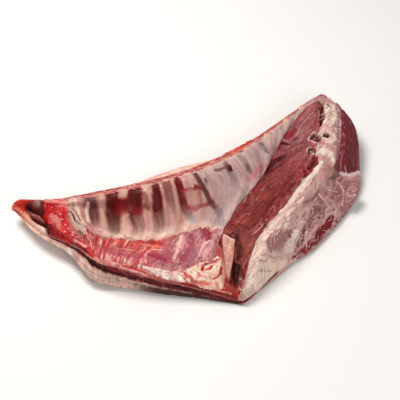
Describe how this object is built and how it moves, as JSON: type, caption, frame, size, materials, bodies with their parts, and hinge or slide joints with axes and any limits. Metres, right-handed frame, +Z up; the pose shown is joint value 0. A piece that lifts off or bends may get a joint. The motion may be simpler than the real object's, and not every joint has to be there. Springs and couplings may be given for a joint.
{
  "type": "rack of lamb ribs",
  "caption": "Raw lamb breast and rib rack with its flank flap, lying on its outer side with the lined inner side, cut breastbone and diaphragm in view.",
  "frame": {"origin": "centre of the bounding box in plan, on the plane the piece rests on", "axes": "+Z up, +X from the neck end to the flank, +Y from the split breastbone to the sawn rib ends"},
  "size_m": [0.4159, 0.2921, 0.054],
  "materials": {
    "outer_fat": "moist, waxy fat",
    "lean_meat": "wet raw muscle",
    "rib_lining": "wet translucent membrane over rib and muscle",
    "bone": "sawn bone with red marrow",
    "red_marrow": "wet red marrow and cartilage",
    "flank_fascia": "moist pink fascia and fat",
    "tendon": "moist pale tendon"
  },
  "bodies": {
    "root": {"fat_cover": "outer_fat", "rim_fat": "outer_fat", "neck_muscle": "lean_meat", "manubrium": "red_marrow", "chest_wall": "rib_lining", "flank": "flank_fascia", "flank_lobe": "lean_meat", "sternebra_1": "red_marrow", "sternebra_2": "red_marrow", "sternebra_3": "red_marrow", "sternebra_4": "red_marrow", "sternebra_5": "red_marrow", "sternebra_6": "red_marrow", "rib_01": "bone", "rib_02": "bone", "rib_03": "bone", "rib_04": "bone", "rib_05": "bone", "rib_06": "bone", "rib_07": "bone", "rib_08": "bone", "rib_09": "bone", "rib_10": "bone", "rib_11": "bone", "rib_12": "bone", "inner_chest_muscle": "lean_meat", "breast_fat": "outer_fat", "belly_fat": "outer_fat", "diaphragm": "lean_meat", "tendon_flap": "tendon", "fascia_tab": "flank_fascia"}
  },
  "joints": []
}
